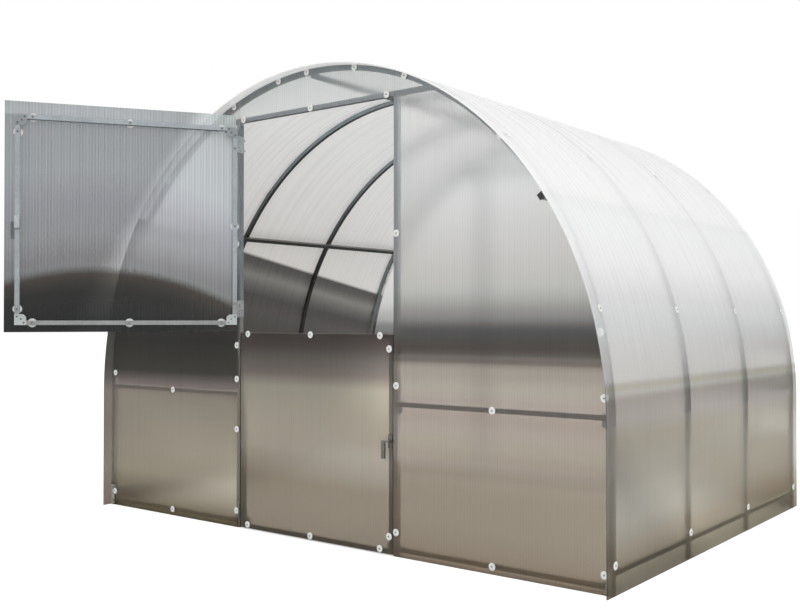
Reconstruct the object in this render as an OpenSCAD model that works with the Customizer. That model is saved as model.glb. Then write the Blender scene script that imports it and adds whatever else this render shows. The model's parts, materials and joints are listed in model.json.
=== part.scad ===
// Arched greenhouse: square steel tube frame under clear twin-wall sheet, with a two-leaf door.
// Millimetres, +Z up. X runs across the gable, Y runs back along the ridge.
// The origin is the middle of the front left foot, the corner that the frame is set out from.

/* [Frame] */
// Outside width of the arches
frame_w = 3000; // [2500:10:3600]
// Outside length from the front arch to the rear arch
frame_l = 2000; // [1600:10:4200]
// Height of the straight legs under the arches
leg_h = 600; // [500:10:900]
// Number of arches, both gables included
arch_count = 4; // [3:1:7]
// Side of the square frame tube
tube = 20; // [16:1:30]
// Slope position of the side purlins above the horizontal, in degrees
purlin_angle = 35; // [20:1:50]
// Height of the underside of the side base rails
base_rail_z = 70; // [30:1:120]

/* [Gables] */
// Clear width between the door posts
door_w = 960; // [760:10:1200]
// Drop from the crown of the frame to the underside of the lintel
lintel_drop = 185; // [170:5:400]
// Height of the underside of the gable mid rails
mid_rail_z = 620; // [400:10:1000]
// Height of the underside of the gable bottom rails
bottom_rail_z = 20; // [0:1:60]

/* [Covering] */
// Thickness of the twin-wall sheet
sheet_t = 4; // [4:1:10]
// Overhang of the roof sheet past each gable
roof_overhang = 50; // [20:5:100]
// Clearance between a curved sheet or cut end and what it seats on
seat_gap = 0.3; // [0.1:0.1:0.5]

/* [Door leaves] */
// Height of the top of the lower leaf above the ground
lower_leaf_top = 920; // [700:1:1100]
// Gap under the lower leaf
ground_gap = 5; // [3:1:20]
// Gap between each leaf and the post beside it
side_gap = 7; // [6:1:12]
// Gap from the lower leaf to the sheet of the upper leaf
meeting_gap = 6; // [5:1:20]
// Drop of the upper sheet below its frame
sheet_drop = 31; // [10:1:60]
// Rise of the upper sheet over its frame
sheet_rise = 60; // [20:1:80]
// Lap of the upper sheet past its free stile
sheet_lap = 44; // [10:1:60]
// Gap between the upper leaf frame and the lintel
top_gap = 30; // [20:1:40]
// How far the upper leaf stands forward of the posts
upper_proud = 12; // [10:1:16]
// How far the upper leaf stands open, in degrees
open_angle = 126; // [0:1:160]

/* [Hinges] */
// Height of one hinge
hinge_h = 80; // [40:1:100]
// Thickness of a hinge plate
hinge_t = 2; // [1:0.1:2.5]
// Radius of the hinge knuckle
knuckle_r = 3.7; // [3.5:0.1:4.5]
// Radius of the hinge pin
pin_r = 2; // [1.5:0.1:2.5]
// Radial clearance of the pin in the moving knuckle
pin_clearance = 0.08; // [0.02:0.01:0.1]
// Gap between the two knuckles of a hinge
knuckle_gap = 1; // [0.5:0.1:2]
// Distance from the end of a leaf to the middle of its nearest hinge
hinge_inset = 75; // [60:1:150]
// Height of the hinge axis above the outer face of a leaf sheet
axis_proud = 4; // [4:0.5:8]
// Setback of the sheets on both sides of the hinges, clear of the knuckles
hinge_setback = 5; // [4:1:10]

/* [Latches] */
// Height of the middle of the upper latch
upper_latch_z = 1410; // [1200:1:1600]
// Height of the middle of the lower latch
lower_latch_z = 475; // [300:1:700]
// Height of the latch case and of its face plate
latch_h = 56; // [40:1:80]
// Depth of the latch case on the inner face of the stile
latch_case_d = 14; // [8:1:20]
// Thickness of the latch face plate
latch_plate_t = 2; // [1:0.5:4]
// Diameter of the latch spindle stub
spindle_d = 10; // [8:1:14]
// Distance from the face plate to the lever
lever_stand = 12; // [8:1:25]
// Thickness of the bent lever
lever_t = 8; // [6:1:12]
// Width of the hanging end of the lever
lever_w = 18; // [10:1:26]
// Reach of the lever from the spindle
lever_reach = 32; // [22:1:60]
// Drop of the hanging end of the lever
lever_drop = 72; // [50:1:110]

/* [Plates] */
// Length of each arm of a corner bracket
bracket_arm = 32; // [20:1:50]
// Length of each arm of the small brackets under the lintel
small_arm = 14; // [10:1:15]
// Thickness of bracket and splice plates
plate_t = 2; // [1:0.5:3]
// Width of a bracket
bracket_w = 16; // [10:1:16]
// Side of the plates in the corners of a leaf
gusset = 48; // [40:1:100]
// Cut across the inner corner of a gusset
gusset_cut = 12; // [5:1:20]
// Length of a splice plate below the foot of the arch
splice_low = 60; // [30:5:100]
// Length of a splice plate above the foot of the arch
splice_high = 150; // [80:5:200]

/* [Hidden] */
arch_r = frame_w / 2;
arch_in = arch_r - tube;
crown_z = leg_h + arch_r;
lintel_z = crown_z - lintel_drop;
door_x = door_w / 2;
post_x = door_x + tube;
bay_pitch = (frame_l - tube) / (arch_count - 1);
arch_last = arch_count - 1;
foot_x = arch_r - tube / 2;
foot_y = tube / 2;

leaf_x = door_x - side_gap;
upper_leaf_z = lower_leaf_top + meeting_gap + sheet_drop;
upper_leaf_top = lintel_z - top_gap;
axis_x = -door_x + side_gap / 2;
upper_axis_y = -upper_proud - sheet_t - axis_proud;
lower_axis_y = -sheet_t - axis_proud;
arc_fn = 180;
round_fn = 48;

// Half width inside the arch at a height
function inner_x(z) = z <= leg_h ? arch_in : sqrt(arch_in * arch_in - (z - leg_h) * (z - leg_h));

// Front of each arch along the ridge
function arch_y(i) = i * bay_pitch;

// Moves the drawing from the middle of the front gable to the front left foot
module set_out() {
    translate([foot_x, -foot_y, 0]) children();
}

// A box from one corner to the opposite one
module bar(low, high) {
    translate(low) cube(high - low);
}

// A flat outline in X and Z made into a slab that runs back from y
module slab(y, depth) {
    translate([0, y + depth, 0]) rotate([90, 0, 0]) linear_extrude(height = depth) children();
}

module both_sides() {
    children();
    mirror([1, 0, 0]) children();
}

module at_rear() {
    translate([0, frame_l, 0]) mirror([0, 1, 0]) children();
}

// The whole gable outline: a half circle of radius r on upright sides
module gable_outline(r) {
    translate([0, leg_h]) intersection() {
        circle(r = r, $fn = arc_fn);
        translate([-r, 0]) square([2 * r, r]);
    }
    translate([-r, 0]) square([2 * r, leg_h]);
}

// Keeps what lies inside the arch and legs, so that a bar's end seats on them
module inside_frame() {
    intersection() {
        children();
        slab(0, tube) gable_outline(arch_in - seat_gap);
    }
}

// ---- Arches, legs and the bars along the ridge ----

module arch(i) {
    slab(arch_y(i), tube) translate([0, leg_h]) intersection() {
        difference() {
            circle(r = arch_r, $fn = arc_fn);
            circle(r = arch_in, $fn = arc_fn);
        }
        translate([-arch_r, 0]) square([2 * arch_r, arch_r]);
    }
}

module front_arch() {
    color("#a9aeb0") set_out() arch(0);
}

module second_arch() {
    color("#8c9092") set_out() arch(1);
}

module third_arch() {
    color("#8c9092") set_out() arch(2);
}

module rear_arch() {
    color("#8c9092") set_out() for (i = [3 : 1 : arch_last]) arch(i);
}

module leg_row() {
    for (i = [0 : 1 : arch_last])
        bar([-arch_r, arch_y(i), 0], [-arch_in, arch_y(i) + tube, leg_h]);
}

module left_legs() {
    color("#777a78") set_out() leg_row();
}

module right_legs() {
    color("#777a78") set_out() mirror([1, 0, 0]) leg_row();
}

// Plates across each joint between leg and arch, on the inner face of the frame
module splice_pair(y) {
    slab(y, plate_t) intersection() {
        difference() {
            gable_outline(arch_r);
            gable_outline(arch_in);
        }
        translate([-arch_r, leg_h - splice_low]) square([2 * arch_r, splice_low + splice_high]);
    }
}

module leg_splices() {
    color("#b4b8ba") set_out() {
        for (i = [0 : 1 : arch_last - 1]) splice_pair(arch_y(i) + tube);
        splice_pair(arch_y(arch_last) - plate_t);
    }
}

module base_rail_row() {
    for (i = [0 : 1 : arch_last - 1])
        bar([-arch_r, arch_y(i) + tube + seat_gap, base_rail_z],
            [-arch_in, arch_y(i + 1) - seat_gap, base_rail_z + tube]);
}

module left_base_rails() {
    color("#777a78") set_out() base_rail_row();
}

module right_base_rails() {
    color("#777a78") set_out() mirror([1, 0, 0]) base_rail_row();
}

// A bar under the arches, turned to the slope of the arch at that angle
module purlin(angle) {
    translate([0, 0, leg_h]) rotate([0, -angle, 0])
        bar([arch_in - seat_gap - tube, 0, -tube / 2], [arch_in - seat_gap, frame_l, tube / 2]);
}

module ridge_purlin() {
    color("#8c9092") set_out() purlin(90);
}

module left_purlin() {
    color("#8c9092") set_out() mirror([1, 0, 0]) purlin(purlin_angle);
}

module right_purlin() {
    color("#8c9092") set_out() purlin(purlin_angle);
}

// ---- Gable bars ----

module posts() {
    both_sides() bar([-post_x, 0, 0], [-door_x, tube, lintel_z]);
}

module lintel() {
    inside_frame() bar([-arch_r, 0, lintel_z], [arch_r, tube, lintel_z + tube]);
}

// A rail on each side of the doorway, from the post to the leg
module side_rails(z) {
    inside_frame() both_sides() bar([-arch_r, 0, z], [-post_x, tube, z + tube]);
}

// A rail between the two posts
module middle_rail(z) {
    bar([-door_x, 0, z], [door_x, tube, z + tube]);
}

// An angle bracket in the corner at the origin, opening to +X and +Z
module corner_bracket(arm) {
    slab((tube - bracket_w) / 2, bracket_w) {
        square([arm, plate_t]);
        square([plate_t, arm]);
    }
}

// Brackets on top of a rail at height z, against the post and against the leg
module rail_brackets(z) {
    both_sides() {
        translate([-post_x, 0, z]) mirror([1, 0, 0]) corner_bracket(bracket_arm);
        translate([-inner_x(z + bracket_arm) + seat_gap, 0, z]) corner_bracket(bracket_arm);
    }
}

// Brackets under the lintel, on both faces of each post
module lintel_brackets() {
    both_sides() {
        translate([-door_x, 0, lintel_z]) mirror([0, 0, 1]) corner_bracket(small_arm);
        translate([-post_x, 0, lintel_z]) mirror([1, 0, 0]) mirror([0, 0, 1]) corner_bracket(bracket_arm);
    }
}

module gable_brackets() {
    rail_brackets(mid_rail_z + tube);
    rail_brackets(bottom_rail_z + tube);
    lintel_brackets();
}

module front_posts() {
    color("#8d908f") set_out() posts();
}

module front_lintel() {
    color("#9a9ea0") set_out() lintel();
}

module front_mid_rails() {
    color("#9a9ea0") set_out() side_rails(mid_rail_z);
}

module front_bottom_rails() {
    color("#777a78") set_out() side_rails(bottom_rail_z);
}

module front_brackets() {
    color("#b4b8ba") set_out() gable_brackets();
}

module rear_posts() {
    color("#8d908f") set_out() at_rear() posts();
}

module rear_lintel() {
    color("#9a9ea0") set_out() at_rear() lintel();
}

module rear_mid_rails() {
    color("#9a9ea0") set_out() at_rear() {
        side_rails(mid_rail_z);
        middle_rail(mid_rail_z);
    }
}

module rear_bottom_rails() {
    color("#777a78") set_out() at_rear() {
        side_rails(bottom_rail_z);
        middle_rail(bottom_rail_z);
    }
}

module rear_brackets() {
    color("#b4b8ba") set_out() at_rear() gable_brackets();
}

// Brackets on top of the side base rails, at both ends of each bay
module side_bracket_row() {
    for (i = [0 : 1 : arch_last - 1]) {
        base_bracket(arch_y(i) + tube) children();
        base_bracket(arch_y(i + 1)) mirror([1, 0, 0]) children();
    }
}

// Turns a bracket so that it opens along the ridge from y
module base_bracket(y) {
    translate([-arch_r + tube, y, base_rail_z + tube]) rotate([0, 0, 90]) children();
}

module side_brackets() {
    color("#b4b8ba") set_out() both_sides() side_bracket_row() corner_bracket(bracket_arm);
}

// ---- Covering ----

module roof_sheet() {
    color("#d7d8d4", 0.5) set_out() slab(-roof_overhang, frame_l + 2 * roof_overhang) difference() {
        gable_outline(arch_r + seat_gap + sheet_t);
        gable_outline(arch_r + seat_gap);
    }
}

// The stretch of the front gable sheet that is w wide from x, above z
module front_sheet(x, w, z) {
    slab(-sheet_t, sheet_t) intersection() {
        gable_outline(arch_r);
        translate([x, z]) square([w, crown_z]);
    }
}

module front_sheet_left() {
    color("#c6c2bc", 0.5) set_out() front_sheet(-arch_r, arch_r - door_x - hinge_setback, 0);
}

module front_sheet_right() {
    color("#c6c2bc", 0.5) set_out() front_sheet(door_x, arch_r - door_x, 0);
}

module front_sheet_top() {
    color("#d2d2d0", 0.5) set_out()
        front_sheet(-door_x - hinge_setback, door_w + hinge_setback, lintel_z);
}

module rear_sheet() {
    color("#c6c2bc", 0.5) set_out() slab(frame_l, sheet_t) gable_outline(arch_r);
}

// ---- Hinges ----

// The half on the post: plate, lower knuckle and pin, about the axis at the origin.
// back is the distance from the axis to the back of the post.
module post_half(back) {
    knuckle_h = (hinge_h - knuckle_gap) / 2;
    reach = knuckle_r + knuckle_gap;
    face = side_gap / 2;
    bar([-face, reach, 0], [-face + hinge_t, back, hinge_h]);
    bar([-face, 0, 0], [-face + hinge_t, reach, knuckle_h]);
    cylinder(r = knuckle_r, h = knuckle_h, $fn = round_fn);
    cylinder(r = pin_r, h = hinge_h, $fn = round_fn);
}

// The half on the leaf: plate and upper knuckle, bored for the pin
module leaf_half(back) {
    knuckle_h = (hinge_h - knuckle_gap) / 2;
    reach = knuckle_r + knuckle_gap;
    face = side_gap / 2;
    difference() {
        union() {
            bar([face - hinge_t, reach, 0], [face, back, hinge_h]);
            bar([face - hinge_t, 0, hinge_h - knuckle_h], [face, reach, hinge_h]);
            translate([0, 0, hinge_h - knuckle_h]) cylinder(r = knuckle_r, h = knuckle_h, $fn = round_fn);
        }
        cylinder(r = pin_r + pin_clearance, h = 2 * hinge_h, $fn = round_fn);
    }
}

// The same hinge half near the bottom and near the top of a leaf
module hinge_pair(axis_y, bottom, top) {
    for (z = [bottom + hinge_inset, top - hinge_inset])
        translate([axis_x, axis_y, z - hinge_h / 2]) children();
}

module upper_post_hinges() {
    color("#9ea2a4") set_out() hinge_pair(upper_axis_y, upper_leaf_z, upper_leaf_top)
        post_half(tube - upper_axis_y);
}

module lower_post_hinges() {
    color("#9ea2a4") set_out() hinge_pair(lower_axis_y, ground_gap, lower_leaf_top)
        post_half(tube - lower_axis_y);
}

// ---- Door leaves, drawn closed about the doorway ----

module stiles(y, bottom, top) {
    both_sides() bar([-leaf_x, y, bottom], [-leaf_x + tube, y + tube, top]);
}

module rails(y, bottom, top) {
    for (z = [bottom, top - tube])
        bar([-leaf_x + tube, y, z], [leaf_x - tube, y + tube, z + tube]);
}

// Plates on the inner face of a leaf, one in each corner, cut across their inner corner
module gussets(y, bottom, top) {
    inner = gusset - gusset_cut;
    for (flip = [0, 1])
        translate([0, 0, (bottom + top) / 2]) mirror([0, 0, flip]) both_sides()
            translate([-leaf_x, 0, (bottom - top) / 2]) slab(y, plate_t)
                polygon([[0, 0], [gusset, 0], [gusset, inner], [inner, gusset], [0, gusset]]);
}

// A bent lever that reaches along +X from its spindle at the origin and hangs down
module lever() {
    translate([0, -lever_t, 0]) {
        bar([-lever_t, 0, -lever_t / 2], [lever_reach, lever_t, lever_t / 2]);
        bar([lever_reach - lever_w, 0, -lever_drop], [lever_reach, lever_t, lever_t / 2]);
    }
}

// Case on the inner face of the free stile, face plate, spindle and lever on the outer face
module latch(face_y, back_y, z) {
    lever_y = face_y - latch_plate_t - lever_stand;
    bar([leaf_x - tube, back_y, z - latch_h / 2], [leaf_x, back_y + latch_case_d, z + latch_h / 2]);
    bar([leaf_x - tube, face_y - latch_plate_t, z - latch_h / 2], [leaf_x, face_y, z + latch_h / 2]);
    translate([leaf_x - tube / 2, face_y, z]) rotate([90, 0, 0])
        cylinder(d = spindle_d, h = latch_plate_t + lever_stand, $fn = round_fn);
    translate([leaf_x - tube / 2, lever_y, z]) children();
}

// Swings the closed upper leaf about its hinge axis to where it stands open
module upper_swing() {
    set_out() translate([axis_x, upper_axis_y, 0]) rotate([0, 0, -open_angle])
        translate([-axis_x, -upper_axis_y, 0]) children();
}

module upper_leaf_stiles() {
    color("#a9aeb0") upper_swing() stiles(-upper_proud, upper_leaf_z, upper_leaf_top);
}

module upper_leaf_rails() {
    color("#a9aeb0") upper_swing() rails(-upper_proud, upper_leaf_z, upper_leaf_top);
}

module upper_leaf_sheet() {
    color("#c4c2c6", 0.5) upper_swing()
        bar([-leaf_x + hinge_setback, -upper_proud - sheet_t, upper_leaf_z - sheet_drop],
            [leaf_x + sheet_lap, -upper_proud, upper_leaf_top + sheet_rise]);
}

module upper_leaf_gussets() {
    color("#b4b8ba") upper_swing() gussets(tube - upper_proud, upper_leaf_z, upper_leaf_top);
}

module upper_leaf_hinges() {
    color("#9ea2a4") upper_swing() hinge_pair(upper_axis_y, upper_leaf_z, upper_leaf_top)
        leaf_half(tube - upper_proud - upper_axis_y);
}

module upper_leaf_latch() {
    color("#55585a") upper_swing()
        latch(-upper_proud - sheet_t, tube - upper_proud, upper_latch_z) lever();
}

module lower_leaf_stiles() {
    color("#8d908f") set_out() stiles(0, ground_gap, lower_leaf_top);
}

module lower_leaf_rails() {
    color("#8d908f") set_out() rails(0, ground_gap, lower_leaf_top);
}

module lower_leaf_sheet() {
    color("#a59c90", 0.5) set_out()
        bar([-leaf_x + hinge_setback, -sheet_t, ground_gap], [leaf_x, 0, lower_leaf_top]);
}

module lower_leaf_gussets() {
    color("#b4b8ba") set_out() gussets(tube, ground_gap, lower_leaf_top);
}

module lower_leaf_hinges() {
    color("#9ea2a4") set_out() hinge_pair(lower_axis_y, ground_gap, lower_leaf_top)
        leaf_half(tube - lower_axis_y);
}

module lower_leaf_latch() {
    color("#c0c2c2") set_out() latch(-sheet_t, tube, lower_latch_z) mirror([1, 0, 0]) lever();
}

front_arch();
second_arch();
third_arch();
rear_arch();
left_legs();
right_legs();
leg_splices();
left_base_rails();
right_base_rails();
ridge_purlin();
left_purlin();
right_purlin();
front_posts();
front_lintel();
front_mid_rails();
front_bottom_rails();
front_brackets();
rear_posts();
rear_lintel();
rear_mid_rails();
rear_bottom_rails();
rear_brackets();
side_brackets();
roof_sheet();
front_sheet_left();
front_sheet_right();
front_sheet_top();
rear_sheet();
upper_post_hinges();
lower_post_hinges();
upper_leaf_stiles();
upper_leaf_rails();
upper_leaf_sheet();
upper_leaf_gussets();
upper_leaf_hinges();
upper_leaf_latch();
lower_leaf_stiles();
lower_leaf_rails();
lower_leaf_sheet();
lower_leaf_gussets();
lower_leaf_hinges();
lower_leaf_latch();
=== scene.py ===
# %% [markdown]
# # An arched greenhouse under twin-wall sheet
# A half-round hobby greenhouse: four hoops of square galvanised tube, clear fluted polycarbonate
# sheet bent over them, and a stable door in the front gable whose upper leaf stands open.
# The steel and the sheets come from the construction model and keep their shape. This notebook
# gives them their finish, adds the small fixings, and sets up the light and the camera.

# %% Load the construction model
import json
import math

import bmesh
import bpy
from mathutils import Matrix, Vector


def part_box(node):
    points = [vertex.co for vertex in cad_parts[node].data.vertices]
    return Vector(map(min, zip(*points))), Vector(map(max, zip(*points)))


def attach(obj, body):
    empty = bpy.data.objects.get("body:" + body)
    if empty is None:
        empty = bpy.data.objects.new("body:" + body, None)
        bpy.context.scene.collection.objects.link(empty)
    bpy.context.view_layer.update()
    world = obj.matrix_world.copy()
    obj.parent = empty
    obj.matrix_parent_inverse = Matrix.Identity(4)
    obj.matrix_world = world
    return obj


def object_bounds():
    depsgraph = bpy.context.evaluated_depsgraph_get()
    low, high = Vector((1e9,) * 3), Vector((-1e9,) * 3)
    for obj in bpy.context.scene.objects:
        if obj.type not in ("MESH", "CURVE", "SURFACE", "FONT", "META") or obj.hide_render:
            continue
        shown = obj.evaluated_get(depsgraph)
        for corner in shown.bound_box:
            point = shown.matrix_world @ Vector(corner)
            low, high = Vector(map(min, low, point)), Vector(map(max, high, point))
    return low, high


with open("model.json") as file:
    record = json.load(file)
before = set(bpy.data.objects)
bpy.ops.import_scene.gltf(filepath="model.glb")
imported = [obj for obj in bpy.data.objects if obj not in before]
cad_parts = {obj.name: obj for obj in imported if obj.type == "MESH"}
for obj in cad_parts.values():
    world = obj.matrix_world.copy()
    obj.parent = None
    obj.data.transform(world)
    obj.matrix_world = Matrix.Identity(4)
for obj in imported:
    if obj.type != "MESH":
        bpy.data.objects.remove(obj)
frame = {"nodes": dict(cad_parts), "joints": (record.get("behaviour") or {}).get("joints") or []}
cad_low, cad_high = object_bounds()
steel = frame["nodes"]
print(len(steel), "parts, from", tuple(round(v, 3) for v in cad_low), "to", tuple(round(v, 3) for v in cad_high))

# %% [markdown]
# ## The camera
# A viewer three and a half metres off the right front corner, with the eye a metre up. A normal lens
# keeps the hoops round. The camera is almost level, so that the uprights stay upright, and a sideways
# shift brings the building back into the frame, as on a view camera.

# %% Camera
camera = bpy.data.objects.new("camera", bpy.data.cameras.new("camera"))
camera.location = (4.5968, -3.0487, 0.9778)
camera.rotation_euler = (math.radians(90.573), 0, math.radians(35.32))
camera.data.lens = 43.24
camera.data.sensor_width = 36
camera.data.shift_x = -0.1088
camera.data.shift_y = 0.0035
bpy.context.scene.collection.objects.link(camera)
bpy.context.scene.camera = camera
print("camera", round((camera.location - (cad_low + cad_high) / 2).length, 2), "m from the middle of the building")

# %% [markdown]
# ## Three helpers for finishes
# Colours are noted as sRGB hex values, as on a paint chart, but shaders work in linear light, so one
# function turns them. A second adds a node, sets it and links it, so that a finish reads as a list of
# steps from the surface to the shader, and a third starts a material. Sockets go by name, or by number
# where names repeat: a Mix node for colours takes its share at 0 and its colours at 6 and 7, and gives
# the mix at 2.

# %% Colour and node helpers
def linear(hex_colour):
    """An sRGB hex colour as linear red, green, blue and an alpha of 1."""
    parts = [int(hex_colour[i:i + 2], 16) / 255 for i in (1, 3, 5)]
    return tuple(c / 12.92 if c <= 0.04045 else ((c + 0.055) / 1.055) ** 2.4 for c in parts) + (1,)


def add(tree, kind, sockets=None, stops=(), **settings):
    """A new node: settings are its properties, sockets are numbers to set or outputs to link."""
    made = tree.nodes.new(kind)
    for name, value in settings.items():
        setattr(made, name, value)
    for socket, value in (sockets or {}).items():
        if isinstance(value, bpy.types.NodeSocket):
            tree.links.new(value, made.inputs[socket])
        else:
            made.inputs[socket].default_value = value
    if stops:
        ramp = made.color_ramp.elements
        ramp.remove(ramp[-1])
        ramp[0].position, ramp[0].color = stops[0][0], linear(stops[0][1])
        for place, colour in stops[1:]:
            ramp.new(place).color = linear(colour)
    return made


def new_finish(name):
    """An empty node material and its tree."""
    finish = bpy.data.materials.new(name)
    finish.use_nodes = True
    finish.node_tree.nodes.clear()
    return finish, finish.node_tree


print("a middle grey, #808080, is", round(linear("#808080")[0], 3), "in linear light")

# %% [markdown]
# ## Studio
# A plain pale floor, white surroundings and two large soft lamps. The lamp on the right gives the
# tubes a light side and a darker side. The surroundings are pure white where the camera, a
# reflection or a look through the sheet meets them, and a little weaker where they only light
# things, so that pale sheet doesn't burn out. The floor has a faint glow that only the camera sees,
# which brings it near white and still leaves the building its shadow.

# %% World and floor
scene = bpy.context.scene
scene.view_settings.view_transform = "Standard"

world = bpy.data.worlds.new("studio")
world.use_nodes = True
scene.world = world
tree = world.node_tree
tree.nodes.clear()
ray = add(tree, "ShaderNodeLightPath").outputs
seen = add(tree, "ShaderNodeMath", {0: ray["Is Camera Ray"], 1: ray["Is Glossy Ray"]}, operation="MAXIMUM")
seen = add(tree, "ShaderNodeMath", {0: seen.outputs[0], 1: ray["Is Transmission Ray"]}, operation="MAXIMUM")
strength = add(tree, "ShaderNodeMapRange", {"Value": seen.outputs[0], "To Min": 0.95, "To Max": 1.0})
glow = add(tree, "ShaderNodeBackground", {"Color": linear("#ffffff"), "Strength": strength.outputs[0]})
add(tree, "ShaderNodeOutputWorld", {"Surface": glow.outputs[0]})

floor_finish, tree = new_finish("pale_studio_floor")
ray = add(tree, "ShaderNodeLightPath").outputs
place = add(tree, "ShaderNodeTexCoord").outputs["Object"]
grain = add(tree, "ShaderNodeTexNoise", {"Vector": place, "Scale": 6.0, "Detail": 3.0})
shade = add(tree, "ShaderNodeValToRGB", {"Fac": grain.outputs["Fac"]}, stops=((0.3, "#f3f3f2"), (0.7, "#f6f6f5")))
paint = add(tree, "ShaderNodeBsdfDiffuse", {"Color": shade.outputs[0]})
lift = add(tree, "ShaderNodeMath", {0: ray["Is Camera Ray"], 1: 0.33}, operation="MULTIPLY")
lamp = add(tree, "ShaderNodeEmission", {"Color": linear("#ffffff"), "Strength": lift.outputs[0]})
both = add(tree, "ShaderNodeAddShader", {0: paint.outputs[0], 1: lamp.outputs[0]})
add(tree, "ShaderNodeOutputMaterial", {"Surface": both.outputs[0]})

FLOOR_SIZE = 60
shape = bmesh.new()
bmesh.ops.create_grid(shape, x_segments=2, y_segments=2, size=FLOOR_SIZE)
bmesh.ops.translate(shape, verts=shape.verts, vec=(0, 0, -0.001))
floor_mesh = bpy.data.meshes.new("floor")
shape.to_mesh(floor_mesh)
shape.free()
floor_mesh.materials.append(floor_finish)
floor = bpy.data.objects.new("floor", floor_mesh)
scene.collection.objects.link(floor)
print("floor", 2 * FLOOR_SIZE, "m across")

# %% Lamps
# Name, distance from the middle of the building and size in metres, and power in watts.
LAMPS = (("key_lamp", (6.5, -3.0, 7.0), 5.0, 240), ("fill_lamp", (-5.0, -7.0, 4.0), 6.0, 60))
middle = (cad_low + cad_high) / 2
for name, offset, size, power in LAMPS:
    light = bpy.data.lights.new(name, "AREA")
    light.size = size
    light.energy = power
    lamp = bpy.data.objects.new(name, light)
    lamp.location = middle + Vector(offset)
    lamp.rotation_euler = (-Vector(offset)).to_track_quat("-Z", "Y").to_euler()
    scene.collection.objects.link(lamp)
    print(name, power, "W")

# %% [markdown]
# ## Galvanised tube
# Welded square tube, dipped in molten zinc. Zinc is a metal, so the surface mirrors its surroundings,
# but the skin freezes in crystals of a few millimetres and dulls in a season under a film of oxide. So
# the finish is three quarters metal, and the mirror is rough and faintly mottled. Undersides are drawn
# darker as painted shade and tops paler as a painted highlight, and the tone changes with height as
# painted light and shade.

# %% Galvanised tube and plate
mid_x = (cad_low.x + cad_high.x) / 2
TUBE_CORNER = 0.003
SEAM = 0.1  # metres over which a finish changes from the left half of the building to the right


def zinc(name, crystal, roughness, head, foot, top, under, span=(0.8, 1.18), lit=None):
    """Zinc-coated steel.

    crystal is its spangle in metres, head and foot are its tones above and below the span of heights,
    painted light and shade, and top and under its tones on faces that look up and down, a painted
    highlight on tops and painted shade underneath. lit is how much lighter the faces that look right are
    drawn on the right half of the building. It is light put into the finish, not a stain.
    """
    finish, tree = new_finish(name)
    place = add(tree, "ShaderNodeTexCoord").outputs["Object"]
    spot = add(tree, "ShaderNodeSeparateXYZ", {0: place}).outputs
    # The tone changes from foot to head with height, as painted light and shade.
    rise = add(tree, "ShaderNodeMapRange", {
        "Value": spot["Z"], "From Min": span[0], "From Max": span[1]}).outputs[0]
    side = add(tree, "ShaderNodeMix", {0: rise, 6: linear(foot), 7: linear(head)}, data_type="RGBA").outputs[2]
    rounded = add(tree, "ShaderNodeBevel", {"Radius": TUBE_CORNER}, samples=4).outputs[0]
    facing = add(tree, "ShaderNodeSeparateXYZ", {0: rounded}).outputs
    # Faces that look up take a paler tone, a painted highlight, and faces that look down a darker one, painted shade.
    up = add(tree, "ShaderNodeMapRange", {"Value": facing["Z"], "From Min": 0.2, "From Max": 0.6}).outputs[0]
    down = add(tree, "ShaderNodeMapRange", {"Value": facing["Z"], "From Min": -0.3, "From Max": -0.7}).outputs[0]
    side_and_lit_tops = add(tree, "ShaderNodeMix", {0: up, 6: side, 7: linear(top)}, data_type="RGBA").outputs[2]
    tone = add(tree, "ShaderNodeMix", {0: down, 6: side_and_lit_tops, 7: linear(under)}, data_type="RGBA").outputs[2]
    spangle = add(tree, "ShaderNodeTexVoronoi", {"Vector": place, "Scale": 1 / crystal})
    facets = add(tree, "ShaderNodeSeparateXYZ", {0: spangle.outputs["Color"]}).outputs["X"]
    mottle = add(tree, "ShaderNodeMapRange", {"Value": facets, "To Min": 0.9, "To Max": 1.06}).outputs[0]
    # Stains are patches a hand wide, about nine to the metre.
    stain = add(tree, "ShaderNodeTexNoise", {"Vector": place, "Scale": 9.0, "Detail": 4.0}).outputs["Fac"]
    dulled = add(tree, "ShaderNodeMapRange", {
        "Value": stain, "From Min": 0.35, "From Max": 0.7, "To Min": 1.03, "To Max": 0.88}).outputs[0]
    shade = add(tree, "ShaderNodeMath", {0: mottle, 1: dulled}, operation="MULTIPLY").outputs[0]
    if lit:
        most = add(tree, "ShaderNodeMapRange", {
            "Value": spot["X"], "From Min": mid_x, "From Max": mid_x + SEAM, "To Min": 1.0, "To Max": lit}).outputs[0]
        gain = add(tree, "ShaderNodeMapRange", {
            "Value": facing["X"], "From Min": 0.2, "From Max": 0.6, "To Min": 1.0, "To Max": most}).outputs[0]
        shade = add(tree, "ShaderNodeMath", {0: shade, 1: gain}, operation="MULTIPLY").outputs[0]
    colour = add(tree, "ShaderNodeVectorMath", {0: tone, "Scale": shade}, operation="SCALE").outputs[0]
    rough = add(tree, "ShaderNodeMapRange", {
        "Value": facets, "To Min": roughness - 0.06, "To Max": roughness + 0.06}).outputs[0]
    bump = add(tree, "ShaderNodeBump", {
        "Height": stain, "Strength": 0.2, "Distance": 0.0006, "Normal": rounded}).outputs[0]
    skin = add(tree, "ShaderNodeBsdfPrincipled", {
        "Base Color": colour, "Metallic": 0.75, "Roughness": rough, "Normal": bump})
    add(tree, "ShaderNodeOutputMaterial", {"Surface": skin.outputs[0]})
    print(name, "is ready")
    return finish


# Spangle is 3 to 8 mm across, drawn at 9 mm so that it shows on a 20 mm tube. Each pair is a spangle and
# a roughness: tube cools slowly and dulls, thin plate is finer and smoother, and a plated hinge most so.
TUBE_SKIN, PLATE_SKIN, HINGE_SKIN = (0.009, 0.46), (0.006, 0.36), (0.005, 0.32)
galvanised_tube = zinc("hot_dip_galvanised_tube", *TUBE_SKIN, "#7d8387", "#66625b", "#dcdcd6", "#3c3e3e")
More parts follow.
